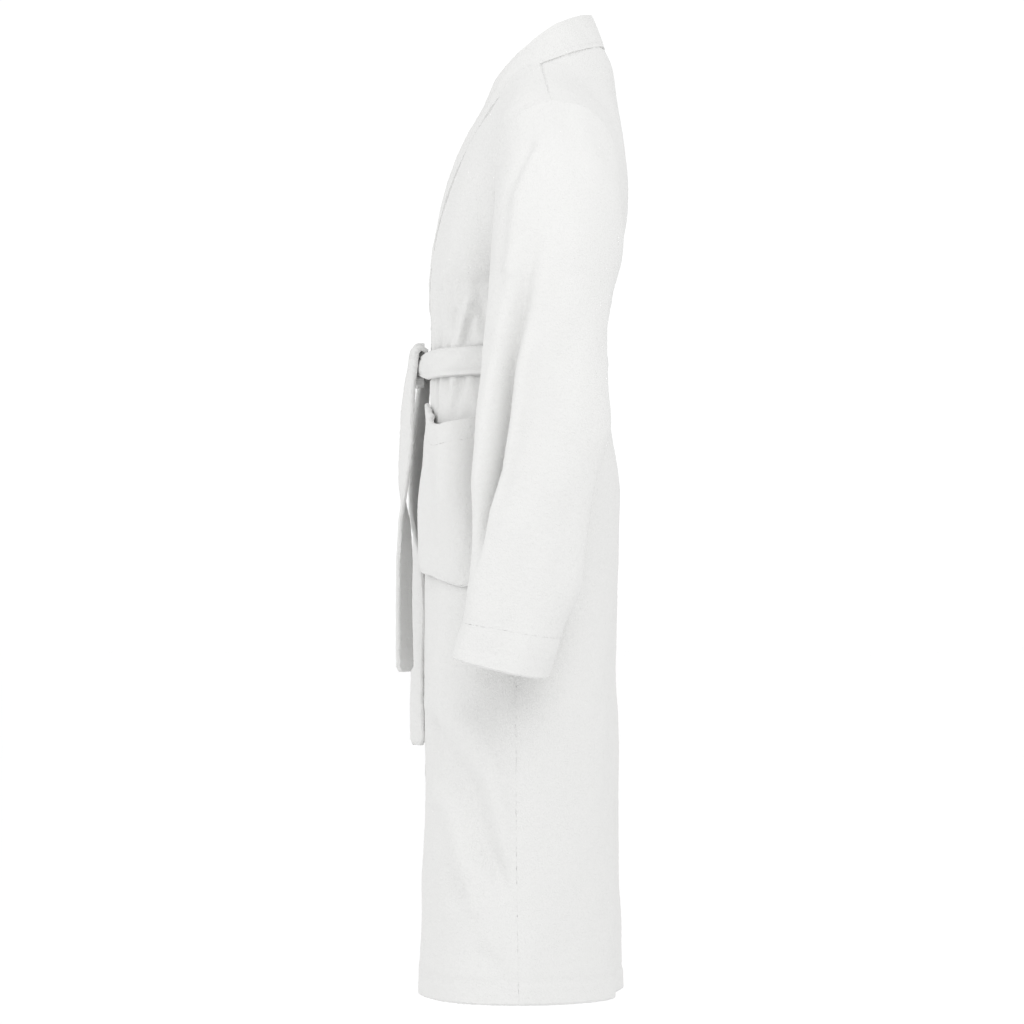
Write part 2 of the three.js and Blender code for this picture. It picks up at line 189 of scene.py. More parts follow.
def edge_distances(grid, wrap=False):
    """Distances of every point from the first row, last row, first column and last column."""
    up = np.linalg.norm(np.diff(grid, axis=0), axis=-1)
    up = np.vstack([np.zeros((1, grid.shape[1])), np.cumsum(up, 0)])
    right = np.linalg.norm(np.diff(grid, axis=1), axis=-1)
    right = np.hstack([np.zeros((grid.shape[0], 1)), np.cumsum(right, 1)])
    return up, up[-1] - up, right, right[:, -1:] - right


def boundary(rows, cols, wrap):
    """The grid's open edges as loops of point numbers, with the cloth on their left."""
    at = np.arange(rows * cols).reshape(rows, cols)
    if wrap:
        return [list(at[0]), list(at[-1][::-1])]
    return [[*at[0, :-1], *at[:-1, -1], *at[-1, :0:-1], *at[:0:-1, 0]]]


def cloth(grid, lift=0.0, thick=4 * MM, wrap=False, flip=False, normals=None, rounds=(0.35,) * 4):
    """A closed cloth over a grid: its outer face lies lift off the grid. rounds says how far the first row,
    last row, first column and last column are rounded, as a share of the thickness."""
    rows, cols = grid.shape[:2]
    side = -1 if flip else 1
    normals = grid_normals(grid, wrap) if normals is None else normals
    lift = np.broadcast_to(lift, (rows, cols))[..., None]
    thick = np.broadcast_to(thick, (rows, cols))[..., None]
    outer = grid + side * lift * normals
    inner = outer - side * thick * normals
    middle = (outer + inner).reshape(-1, 3) / 2
    for face in (outer, inner):
        for (edge, next_in), share in zip(edge_pairs(face, wrap), rounds):
            step = next_in - edge
            length = np.linalg.norm(step, axis=-1, keepdims=True)
            pull = np.minimum(share * thick.mean(), 0.8 * length)
            edge += step / np.maximum(length, 1e-9) * pull
    at = np.arange(rows * cols).reshape(rows, cols)
    right = np.roll(at, -1, 1)[: rows - 1] if wrap else at[:-1, 1:]
    upper = np.roll(at, -1, 1)[1:] if wrap else at[1:, 1:]
    left = at[:-1] if wrap else at[:-1, :-1]
    above = at[1:] if wrap else at[1:, :-1]
    quads = np.stack([left, right, upper, above], -1).reshape(-1, 4)
    inside = quads[:, ::-1] + rows * cols
    points = [outer.reshape(-1, 3), inner.reshape(-1, 3)]
    faces = [quads, inside]
    count = 2 * rows * cols
    for loop in boundary(rows, cols, wrap):
        loop = np.array(loop)
        rim = count + np.arange(len(loop))
        count += len(loop)
        points.append(middle[loop])
        a, b = loop, np.roll(loop, -1)
        ra, rb = rim, np.roll(rim, -1)
        faces.append(np.stack([b, a, ra, rb], -1))
        faces.append(np.stack([rb, ra, a + rows * cols, b + rows * cols], -1))
    faces = np.vstack(faces)
    return np.vstack(points), faces[:, ::-1] if flip else faces


def edge_pairs(face, wrap):
    pairs = [(face[0], face[1].copy()), (face[-1], face[-2].copy())]
    if not wrap:
        pairs += [(face[:, 0], face[:, 1].copy()), (face[:, -1], face[:, -2].copy())]
    return pairs


def fuzz(mesh, amount, seed):
    """Moves every point a little, as loops of pile stand out unevenly."""
    points, faces = mesh
    rng = np.random.default_rng(seed)
    return points + np.clip(rng.normal(size=points.shape), -2, 2) * amount, faces


SEAM_ANGLE = 1.2  # radians; a cut edge turns more than this, a rounded one less


def make_piece(name, mesh, material, nodes, body="robe_body"):
    """Turns points in the outlines' frame into a shown piece that stands for CAD nodes."""
    points, faces = mesh
    data = bpy.data.meshes.new(name)
    data.from_pydata((points - ORIGIN).tolist(), [], faces.tolist())
    data.polygons.foreach_set("use_smooth", np.ones(len(faces), bool))
    data.materials.append(material)
    data.update()
    data.set_sharp_from_angle(angle=SEAM_ANGLE)
    piece = bpy.data.objects.new(name, data)
    bpy.context.scene.collection.objects.link(piece)
    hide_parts(*nodes)
    if body:
        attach(piece, body)
    return piece


def on_side(grid, side):
    """The outlines are those of the left half, mirrored for the right one."""
    return grid * (-1, 1, 1) if side == "right" else grid


# ------------------------------------------------------------------ the body's surface

RELAX_FROM = 1.02  # height above which the panels are evened out
RELAX_FADE = 0.06


def border(armhole, t):
    t = np.asarray(t, float)
    low = side_seam(t / SIDE_STATIONS)
    high = armhole((t - SIDE_STATIONS) / (STATIONS - SIDE_STATIONS))
    return np.where((t <= SIDE_STATIONS)[..., None], low, high)


def quarter(start, end, flat, u):
    """One quarter of the body's section, from start at its middle to end at its side."""
    d = end - start
    long = (SQUARE + (1 / 3 - SQUARE) * flat)[..., None]
    short = (flat / 3)[..., None]
    first = start + d * np.concatenate([long, short, np.full_like(long, 1 / 3)], -1)
    last = end - d * np.concatenate([short, long, np.full_like(long, 1 / 3)], -1)
    u = np.asarray(u)[..., None]
    return (1 - u) ** 3 * start + 3 * u * (1 - u) ** 2 * first + 3 * u**2 * (1 - u) * last + u**3 * end


def flatness(t):
    return smooth((np.asarray(t, float) - SIDE_STATIONS) / (STATIONS - SIDE_STATIONS))


def front_point(t, u):
    return quarter(band_seam(np.asarray(t) / BAND_STATIONS), border(armhole_front, t), flatness(t), u)


def back_point(t, u):
    """A point of the left half of the back, whose top edge is the neck seam and the shoulder seam."""
    t, u = np.broadcast_arrays(np.asarray(t, float), np.asarray(u, float))
    plain = quarter(centre_back(t / STATIONS), border(armhole_back, t), flatness(t), u)
    neck = back_neck(u / NECK_SHARE)
    along = ((u - NECK_SHARE) / (1 - NECK_SHARE))[..., None]
    shoulder = back_neck(1.0) + (armhole_back(1.0) - back_neck(1.0)) * along
    top = np.where((u < NECK_SHARE)[..., None], neck, shoulder)
    plain_top = quarter(centre_back(np.ones_like(t)), armhole_back(np.ones_like(t)), np.ones_like(t), u)
    return plain + (top - plain_top) * (smooth((t - STATIONS + 2) / 2) ** 2)[..., None]


def even_stations(point, count):
    """Stations from hem to shoulder whose rows lie evenly spaced."""
    t = np.linspace(0, STATIONS, 3000)
    line = (point(t, np.full_like(t, 0.25)) + point(t, np.full_like(t, 0.8))) / 2
    length = np.concatenate([[0], np.cumsum(np.linalg.norm(np.diff(line, axis=0), axis=-1))])
    return np.interp(np.linspace(0, length[-1], count + 1), length, t)


def relax(grid, rounds):
    """Evens out a grid above the chest, keeping its edges."""
    share = smooth((grid[..., 2] - RELAX_FROM) / RELAX_FADE)
    for _ in range(rounds):
        mean = (grid[:-2, 1:-1] + grid[2:, 1:-1] + grid[1:-1, :-2] + grid[1:-1, 2:]) / 4
        grid[1:-1, 1:-1] += (mean - grid[1:-1, 1:-1]) * share[1:-1, 1:-1, None]
    return grid


def tuck(p):
    """How far the right front lies under the left one at a point of the left front's mirror image."""
    over = smooth((p[..., 0] + TUCK_EDGE + TUCK_FADE) / TUCK_FADE)
    return TUCK * over * (1 - smooth((p[..., 2] - TUCK_TOP[0]) / TUCK_TOP[1]))


def station_at(z, u):
    """The station whose row of the front lies at height z."""
    low, high = np.zeros_like(z), np.full_like(z, float(SIDE_STATIONS))
    for _ in range(34):
        middle = (low + high) / 2
        below = front_point(middle, u)[..., 2] < z
        low, high = np.where(below, middle, low), np.where(below, high, middle)
    return low


def lean_seams(normals, grid, side_distance):
    """Turns the normals at the side seams so that front and back meet in one plane."""
    z = grid[..., 2]
    share = bump(side_distance, 0.012) * (z < 0.9)
    outward = np.zeros_like(normals)
    faces_out = np.sign(np.sum(normals[:, -1:] * grid[:, -1:] * (1, 0, 0), -1))
    outward[..., 0] = np.sign(grid[..., 0]) * faces_out
    sign = np.where(np.sum(normals * outward, -1) < 0, -1, 1)
    return unit(normals * (1 - share)[..., None] + outward * (sign * share)[..., None])


# ------------------------------------------------------------------ folds

def body_folds(p, seed, sizes):
    """The cloth's own relief on fronts and back: gathers at the belt, soft drape and slow unevenness."""
    z = p[..., 2]
    middle = (BELT[0] + BELT[1]) / 2
    from_belt = np.maximum(np.abs(z - middle) - 0.019, 0)
    gathers = waves(p, 0.026, seed, 9) * bump(from_belt, np.where(z > middle, 0.070, 0.040)) * sizes.gather
    drape = waves(p, 0.15, seed + 1, 6) * smooth((0.80 - z) / 0.5) * sizes.drape
    chest = waves(p, 0.11, seed + 2, 3) * smooth((z - 0.8) / 0.1) * sizes.drape * 0.5
    slow = waves(p, 0.07, seed + 3, 1.5) * sizes.drape * 0.18
    return gathers + drape + chest + slow


# The larger single folds of a front: height of the fold, where minus is a valley, its half width, and its
# line of (depth, height) points. The first six lie on the skirt, the others run into the belt.
FRONT_CREASES = (
    (-0.0115, 0.018, ((-0.112, 0.332), (-0.088, 0.296), (-0.062, 0.262), (-0.041, 0.189), (-0.013, 0.150))),
    (0.0075, 0.022, ((-0.070, 0.345), (-0.045, 0.310), (-0.022, 0.250), (-0.010, 0.205))),
    (0.0055, 0.020, ((-0.108, 0.260), (-0.095, 0.225), (-0.075, 0.165))),
    (-0.0045, 0.012, ((-0.100, 0.230), (-0.092, 0.190), (-0.080, 0.130))),
    (0.0036, 0.012, ((-0.085, 0.250), (-0.070, 0.190), (-0.058, 0.120))),
    (-0.0036, 0.014, ((-0.050, 0.060), (-0.030, 0.048), (-0.008, 0.015))),
    (-0.0034, 0.0045, ((-0.080, 0.858), (-0.083, 0.823))),
    (-0.0042, 0.0050, ((-0.060, 0.848), (-0.069, 0.823))),
    (0.0030, 0.0045, ((-0.064, 0.868), (-0.0755, 0.823))),
    (-0.0022, 0.0050, ((-0.102, 0.885), (-0.098, 0.823))),
    (0.0022, 0.0050, ((-0.091, 0.905), (-0.091, 0.823))),
)
RIGHT_SHIFT = 0.012  # the right front's folds lie this far behind the left one's
FRONT_SEEDS = {"left": 11, "right": 31}


def front_creases(p, side):
    """The single folds of a front, and the long swelling beside its band."""
    q = p - (0, RIGHT_SHIFT if side == "right" else 0.0, 0)
    out = np.zeros(p.shape[:-1])
    for height, width, line in FRONT_CREASES:
        out += height * crease(q, line, width)
    out *= smooth((np.abs(p[..., 0]) - 0.06) / 0.06)
    upright = smooth((p[..., 2] - 0.05) / 0.1) * smooth((0.74 - p[..., 2]) / 0.08)
    return out + 0.0038 * bump(np.abs(p[..., 0]) - 0.085, 0.035) * upright


# The fold in front of the elbow: where it lies round the sleeve and how deep it is, by height.
ELBOW_TURN = ((0.53, 0.572, 0.608, 0.66, 0.705, 0.78, 0.86, 0.93, 1.0), (34, 37, 40, 49, 52, 56, 67, 75, 80))
ELBOW_DEPTH = ((0.53, 0.56, 0.60, 0.66, 0.76, 0.84, 0.90, 0.97), (0, 9, 20, 27, 25, 15, 6.0, 0))
SLEEVE_RADIUS = 0.075  # turns an angle round the sleeve into a distance
SLEEVE_HEAD = ((0.012, 1.053), (-0.0065, 1.019), (-0.016, 0.995), (-0.0236, 0.946), (-0.0285, 0.903))


def sleeve_folds(s, angle, p, seed):
    """The fold in front of the elbow with its strip, long soft folds and the crumpled inner side."""
    z = p[..., 2]
    centre = np.interp(z, ELBOW_TURN[0], np.radians(ELBOW_TURN[1]))
    depth = np.interp(z, ELBOW_DEPTH[0], np.array(ELBOW_DEPTH[1]) * MM)
    away = (angle - centre) * SLEEVE_RADIUS
    valley = -depth * np.exp(-np.where(away > 0, away / 0.0085, away / 0.017) ** 2)
    ridge = depth * 0.26 * bump(away - 0.020, 0.013)
    strip = depth * 0.12 * bump(away + 0.032, 0.013)
    outside = smooth(np.sin(angle) * 2 + 0.6)
    valley -= 0.0045 * crease(p, SLEEVE_HEAD, 0.007) * outside
    ridge += 0.0030 * crease(p + (0, -0.012, 0), SLEEVE_HEAD, 0.009) * outside
    along = waves(p, 0.095, seed, 4.5) * 0.0026 * smooth((1.02 - z) / 0.2)
    fine = waves(p, 0.045, seed + 1, 2.5) * 0.0007
    inner = waves(p, 0.040, seed + 2, 0.6) * 0.0013 * smooth(-np.sin(angle) * 1.4) * bump(z - 0.80, 0.13)
    return (valley + ridge + strip + along + fine + inner) * smooth(s / 0.10)


# ------------------------------------------------------------------ materials

def linear(hex_colour):
    """An sRGB hex colour as linear RGBA."""
    parts = [int(hex_colour[i:i + 2], 16) / 255 for i in (1, 3, 5)]
    return [c / 12.92 if c <= 0.04045 else ((c + 0.055) / 1.055) ** 2.4 for c in parts] + [1.0]


def add_node(tree, kind, links=(), **settings):
    """Adds a node, sets its inputs and properties, and links (output, input) pairs into it."""
    node = tree.nodes.new(kind)
    for key, value in settings.items():
        if key in node.inputs:
            node.inputs[key].default_value = value
        else:
            setattr(node, key, value)
    for source, target in links:
        tree.links.new(source, node.inputs[target])
    return node


def cloth_material(name, colour, pitch, depth, relief=1.0, sheen=0.08):
    """A rough cotton cloth of one colour. Its loops or threads stand pitch apart and are depth high."""
    material = bpy.data.materials.new(name)
    material.use_nodes = True
    tree = material.node_tree
    tree.nodes.clear()
    place = add_node(tree, "ShaderNodeTexCoord")
    loops = add_node(tree, "ShaderNodeTexVoronoi", [(place.outputs["Object"], "Vector")],
                     feature="SMOOTH_F1", Scale=1 / pitch, Randomness=1.0)
    curls = add_node(tree, "ShaderNodeTexNoise", [(place.outputs["Object"], "Vector")],
                     Scale=1 / (pitch * 2.0), Detail=3.0, Roughness=0.65)
    height = add_node(tree, "ShaderNodeMath", [(loops.outputs["Distance"], 0), (curls.outputs["Fac"], 1)],
                      operation="SUBTRACT")
    bumps = add_node(tree, "ShaderNodeBump", [(height.outputs[0], "Height")], Strength=relief, Distance=depth)
    shader = add_node(tree, "ShaderNodeBsdfPrincipled", [(bumps.outputs[0], "Normal")], **{
        "Base Color": colour, "Roughness": 0.95, "IOR": 1.45, "Sheen Weight": sheen,
        "Sheen Roughness": 0.6, "Specular IOR Level": 0.15})
    add_node(tree, "ShaderNodeOutputMaterial", [(shader.outputs[0], "Surface")])
    return material


TERRY_HEX = "#D9D9D8"
TERRY_PITCH = 1.7 * MM  # real loops stand about 1 mm apart; drawn coarser, so that they show
TERRY_DEPTH = 0.5 * MM
TAPE_HEX = "#D2D2CE"
TAPE_PITCH = 0.7 * MM  # real threads lie about 0.4 mm apart; drawn coarser, so that they show
TAPE_DEPTH = 0.15 * MM


def terry():
    """Bleached cotton terry, woven with loops on both faces. They scatter the light, so it looks matt and
    soft, with no gloss and a faint sheen where it is seen edge on."""
    return bpy.data.materials.get("cotton_terry") or cloth_material(
        "cotton_terry", bpy.context.scene.bathrobe.terry_colour, TERRY_PITCH, TERRY_DEPTH)


def tape():
    """Bleached cotton tape, woven flat and tight. It looks smoother than terry, matt and a little warmer."""
    return bpy.data.materials.get("woven_tape") or cloth_material(
        "woven_tape", bpy.context.scene.bathrobe.tape_colour, TAPE_PITCH, TAPE_DEPTH,
        relief=0.5, sheen=0.1)


# ------------------------------------------------------------------ settings

class BathrobeSettings(bpy.types.PropertyGroup):
    """Sizes and colours of the cloth and strength of its folds."""

    cloth: FloatProperty(
        name="Cloth", description="Thickness of one layer of terry with its loops",
        default=4 * MM, subtype="DISTANCE", unit="LENGTH")
    band: FloatProperty(
        name="Folded Cloth", description="Thickness of the folded bands, hems and belt",
        default=6 * MM, subtype="DISTANCE", unit="LENGTH")
    hem: FloatProperty(
        name="Hem", description="Height of the hem's stitched fold",
        default=28 * MM, subtype="DISTANCE", unit="LENGTH")
    gather: FloatProperty(
        name="Gathers", description="Depth of the small gathers above and below the belt",
        default=3.2 * MM, subtype="DISTANCE", unit="LENGTH")
    drape: FloatProperty(
        name="Drape", description="Depth of the long soft folds of skirt and chest",
        default=3.0 * MM, subtype="DISTANCE", unit="LENGTH")
    pile: FloatProperty(
        name="Pile", description="Unevenness of the loops that stand out of the cloth",
        default=0.17 * MM, subtype="DISTANCE", unit="LENGTH")
    terry_colour: FloatVectorProperty(
        name="Terry", description="Colour of the terry", default=linear(TERRY_HEX),
        size=4, min=0.0, max=1.0, subtype="COLOR")
    tape_colour: FloatVectorProperty(
        name="Tape", description="Colour of the hanger loop and the blank labels", default=linear(TAPE_HEX),
        size=4, min=0.0, max=1.0, subtype="COLOR")


def hem_stitches(distance, hem):
    """Relief of a folded hem: a stitched groove one hem height from the edge, fuller below it."""
    return -0.0011 * bump(distance - hem, 0.0022) + 0.0012 * smooth((hem - distance) / 0.004)


def ridge_round(distance, reach=0.09, slope=0.48):
    """Rounds the ridge where two panels meet at the shoulder, by a swelling beside it."""
    near = np.clip(1 - distance / reach, 0, 1)
    return slope * distance * near**2


def seam_dip(distance, depth=0.0004):
    """The cloth sinks towards a sewn seam and swells a little beside it."""
    return -depth * bump(distance, 0.004) + 0.3 * depth * bump(distance - 0.011, 0.005)


# ------------------------------------------------------------------ pieces

def body_relief(grid, sizes, seed, seams, creases=0.0):
    """Lift and thickness over a body panel. seams holds its distances from hem, top, left and right edge."""
    bottom, top, left, right = seams
    fade = smooth(top / 0.05) * smooth(right / 0.03) * (0.35 + 0.65 * smooth(left / 0.03))
    folds = (body_folds(grid, seed, sizes) + creases) * fade
    z = grid[..., 2]
    under_belt = smooth((0.014 - np.maximum(np.maximum(BELT[0] - z, z - BELT[1]), 0)) / 0.014)
    folds = np.minimum(folds, 0.0022 + 0.02 * (1 - under_belt))
    lift = folds + hem_stitches(bottom, sizes.hem) + seam_dip(right) + seam_dip(left)
    lift = lift + ridge_round(top) * smooth(right / 0.05)
    thick = sizes.cloth + 0.0014 * smooth((sizes.hem - bottom) / 0.004)
    return lift, thick


class BATHROBE_OT_body(bpy.types.Operator):
    """Builds the two fronts and the back"""

    bl_idname = "bathrobe.body"
    bl_label = "Body Panels"

    def execute(self, context):
        sizes = context.scene.bathrobe
        rows, cols = 400, 112
        t = even_stations(front_point, rows)[:, None]
        grid = front_point(t, np.linspace(0.0001, 1.0008, cols + 1)[None, :])
        grid = relax(grid, 60)
        seams = edge_distances(grid)
        for side, flip in (("left", False), ("right", True)):
            lift, thick = body_relief(grid, sizes, FRONT_SEEDS[side], seams, front_creases(grid, side))
            near_middle = smooth(np.abs(grid[..., 0]) / 0.11)
            lift = np.where(grid[..., 2] < 1.0, lift * (0.35 + 0.65 * near_middle), lift)
            place = on_side(grid, side)
            if flip:
                lift = lift - tuck(place)
            normals = lean_seams(grid_normals(place), place, seams[3])
            mesh = cloth(place, lift, thick, flip=flip, normals=normals, rounds=(0.35, 0.02, 0.02, 0.02))
            mesh = fuzz(mesh, sizes.pile, 3 + flip)
            piece = make_piece(f"{side}_front_cloth", mesh, terry(), [f"{side}_front_panel"])
        self.back(sizes)
        return {"FINISHED"}

    def back(self, sizes):
        rows, half = 330, 74
        t = even_stations(back_point, rows)[:, None]
        u = np.linspace(1, -1, 2 * half + 1)[None, :]
        grid = back_point(t, np.minimum(np.abs(u), 0.9999)) * np.stack([np.sign(u), u * 0 + 1, u * 0 + 1], -1)
        grid = relax(grid, 160)
        bottom, top, left, right = edge_distances(grid)
        side = np.minimum(left, right)
        lift, thick = body_relief(grid, sizes, 51, (bottom, top, np.full_like(side, 1.0), side))
        normals = lean_seams(grid_normals(grid), grid, side)
        mesh = cloth(grid, lift, thick, normals=normals, rounds=(0.35, 0.02, 0.02, 0.02))
        piece = make_piece("back_cloth", fuzz(mesh, sizes.pile, 5), terry(), ["back_panel"])


class BATHROBE_OT_collar(bpy.types.Operator):
    """Builds the folded collar band, in a left and a right half"""

    bl_idname = "bathrobe.collar"
    bl_label = "Collar Band"

    def execute(self, context):
        sizes = context.scene.bathrobe
        rows, cols = 480, 24
        r = np.linspace(0, 1, rows + 1)
        seam, edge = band_seam(r)[:, None], band_edge(r)[:, None]
        grid = seam + (edge - seam) * np.linspace(0.003, 1, cols + 1)[None, :, None]
        grid[-1, :, 0] = 0.2 * MM
        _, top, at_seam, at_edge = edge_distances(grid)
        for side, flip in (("left", True), ("right", False)):
            place = on_side(grid, side)
            stitches = -0.0011 * bump(at_seam - 0.006, 0.002) - 0.0009 * bump(at_edge - 0.006, 0.002)
            waviness = waves(grid, 0.09, 71 + flip, 1.5) * 0.0008 + waves(grid, 0.03, 73 + flip) * 0.0003
            crown = 0.0012 * np.sin(np.pi * np.clip(at_edge / 0.055, 0, 1))
            lift = 0.0004 + crown + (stitches + waviness) * smooth(top / 0.02)
            if not flip:
                lift = lift - tuck(place)
            mesh = cloth(place, lift, sizes.band, flip=flip, rounds=(0.3, 0.0, 0.05, 0.45))
            mesh = fuzz(mesh, sizes.pile, 7 + flip)
            piece = make_piece(f"{side}_band_cloth", mesh, terry(), [f"{side}_collar_band"])
        return {"FINISHED"}


def armhole_point(angle):
    share = (angle + np.pi / 2) / np.pi
    front, back = armhole_front(np.clip(share, 0, 1)), armhole_back(np.clip(2 - share, 0, 1))
    return np.where((share <= 1)[..., None], front, back)


def sleeve_ring(s, angle):
    """Four outlines of the sleeve joined by rounded quarters."""
    front, outer, back, inner = (c(s) for c in (sleeve_front, sleeve_outer, sleeve_back, sleeve_inner))
    middle = (front + outer + back + inner) / 4
    c, a = np.cos(angle)[..., None], np.sin(angle)[..., None]
    along = (np.where(c > 0, front, back) - middle) * np.abs(c) ** 0.88
    out = (np.where(a > 0, outer, inner) - middle) * np.abs(a) ** 0.88
    return middle + along + out


def sleeve_point(s, angle):
    """A point of the sleeve, which grows out of the armhole."""
    start = sleeve_ring(np.zeros_like(s), angle)
    return sleeve_ring(s, angle) + (armhole_point(angle) - start) * (1 - smooth(s / 0.15))[..., None]


class BATHROBE_OT_sleeves(bpy.types.Operator):
    """Builds the sleeves and their folded cuff hems"""

    bl_idname = "bathrobe.sleeves"
    bl_label = "Sleeves"

    def rings(self, rows, start, end, around=168):
        s = np.linspace(start, end, rows + 1)[:, None]
        angle = (np.arange(around) / around - 0.25)[None, :] * 2 * np.pi
        s, angle = np.broadcast_arrays(s, angle)
        return s, angle, sleeve_point(s, angle)

    def execute(self, context):
        sizes = context.scene.bathrobe
        s, angle, grid = self.rings(262, 0.0, SLEEVE_END)
        grid[:, :, 0] -= 0.3 * MM * (1 - smooth(s / 0.02))
        cuff_s, cuff_angle, cuff = self.rings(20, SLEEVE_END + 0.0001, 1.0)
        for side, flip in (("left", True), ("right", False)):
            seed = 91 if flip else 97
            lift = sleeve_folds(s, angle, grid, seed)
            mesh = cloth(on_side(grid, side), lift, sizes.cloth, wrap=True, flip=flip, rounds=(0.02, 0.0))
            mesh = fuzz(mesh, sizes.pile, seed)
            piece = make_piece(f"{side}_sleeve_cloth", mesh, terry(), [f"{side}_sleeve"], body=None)
            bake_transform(piece)
            along = edge_distances(cuff, True)[0]
            lift = sleeve_folds(cuff_s, cuff_angle, cuff, seed)
            lift += 0.0008 * smooth(along / 0.012) - 0.0004 * bump(along - 0.030, 0.002)
            mesh = cloth(on_side(cuff, side), lift, sizes.band, wrap=True, flip=flip, rounds=(0.0, 0.45))
            mesh = fuzz(mesh, sizes.pile, seed + 1)
            hem = make_piece(f"{side}_cuff_cloth", mesh, terry(),
                             [f"{side}_cuff_hem"], body=f"{side}_arm")
        return {"FINISHED"}


# from and to are shares of the front's width; the mouth sags and the pocket tilts by these heights. off is
# the gap behind its sewn edge, room the space inside it, and gape what the mouth adds to that.
POCKET = {
    "from": 0.14, "to": 0.83, "top": 0.746, "sag": 0.022, "bottom": 0.531, "tilt": 0.017, "width": 0.188,
    "corner": 0.042, "hem": 0.028, "off": 1.9 * MM, "room": 5 * MM, "gape": 17 * MM, "gape_at": 0.64,
}


def pocket_point(z, c):
    """A point of the front under the pocket at height z and share c of its width."""
    corner = POCKET["corner"]
    up = np.clip(1 - (z - POCKET["bottom"]) / corner, 0, 1)
    narrow = corner * (1 - np.sqrt(1 - up**2)) / POCKET["width"]
    share = narrow + (1 - 2 * narrow) * c
    u = POCKET["from"] + (POCKET["to"] - POCKET["from"]) * share
    return front_point(station_at(z - POCKET["tilt"] * c, u), u)


def pocket_room(c, up):
    """How far the pocket stands off the front: sewn down at its sides, open towards its mouth."""
    edges = smooth(np.minimum(c, 1 - c) * 9 / 1.4)
    gape = smooth(1 - np.abs(c - POCKET["gape_at"]) * 3)
    return (POCKET["room"] + POCKET["gape"] * gape) * edges * up


class BATHROBE_OT_pockets(bpy.types.Operator):
    """Builds the patch pockets with the folded hems of their mouths"""

    bl_idname = "bathrobe.pockets"
    bl_label = "Patch Pockets"

    def execute(self, context):
        sizes = context.scene.bathrobe
        c = np.linspace(0, 1, 81)[None, :]
        mouth = POCKET["top"] - POCKET["sag"] * np.sin(np.pi * c)
        r = np.linspace(0, 1, 85)[:, None]
        patch = pocket_point(POCKET["bottom"] + (mouth - POCKET["hem"] - POCKET["bottom"]) * r, c + 0 * r)
        h = np.linspace(0, 1, 15)[:, None]
        hem = pocket_point(mouth - POCKET["hem"] * (1 - h) + 0.00005 * (1 - h), c + 0 * h)
        for side, flip in (("left", False), ("right", True)):
            for name, grid, up, thick, proud in (
                    ("pocket", patch, smooth(r / 0.8), sizes.cloth, 0.0),
                    ("pocket_hem", hem, 1.0, sizes.band, 0.8 * MM * smooth(h / 0.5))):
                bottom, _, left, right = edge_distances(grid)
                room = pocket_room(c + 0 * grid[..., 0], up)
                folds = body_folds(grid, FRONT_SEEDS[side], sizes) + front_creases(grid, side)
                under = np.minimum(folds, 0.004)
                edge = np.minimum(left, right)
                if name == "pocket":
                    edge = np.minimum(edge, bottom)
                wrinkle = waves(grid, 0.06, 131 + flip, 1.6) * 0.0016 * smooth(edge / 0.03)
                lift = POCKET["off"] + sizes.cloth + proud + room + under + wrinkle
                lift = lift - 0.0010 * bump(edge - 0.005, 0.0022)
                lift = lift + 0.005 * bump(c - 0.12, 0.22) * bump(grid[..., 2] - 0.585, 0.06)
                if flip:
                    lift = lift - tuck(on_side(grid, side))
                rounds = (0.4, 0.0, 0.4, 0.4) if name == "pocket" else (0.0, 0.45, 0.4, 0.4)
                mesh = cloth(on_side(grid, side), lift, thick, flip=flip, rounds=rounds)
                mesh = fuzz(mesh, sizes.pile, 17 + flip)
                piece = make_piece(f"{side}_{name}_cloth", mesh, terry(),
                                   [f"{side}_{name}"])
        return {"FINISHED"}


def waist_line(count):
    """The belt's line around the waist, one full turn."""
    turn = np.arange(count) / count * 4
    part = np.floor(turn).astype(int)
    u = np.where(part % 2 == 1, 1 - (turn - part), turn - part)
    back = ((part == 1) | (part == 2))[:, None]
    middle = centre_back(BELT_STATION / STATIONS)
    front = np.array((0, band_seam(BELT_STATION / BAND_STATIONS)[1], middle[2]))
    start = np.where(back, middle, front)
    line = quarter(start, side_seam(BELT_STATION / SIDE_STATIONS), np.zeros(count), u)
    line[:, 0] *= np.where(part > 1, -1, 1)
    return line


STRAP_PILE = 0.18 * MM  # unevenness of the loops on straps and tapes


def ribbon(line, across, width, thick, cols=12, flip=False, lift=None, seed=1):
    """A strap of rounded section along a line of points, with its width along across."""
    c = np.linspace(-0.5, 0.5, cols + 1)[None, :, None]
    grid = line[:, None] + unit(across)[:, None] * c * np.broadcast_to(width, (len(line), 1))[:, None]
    lift = thick / 2 if lift is None else lift(grid) + thick / 2
    return fuzz(cloth(grid, lift, thick, flip=flip, rounds=(0.45,) * 4), STRAP_PILE, seed)


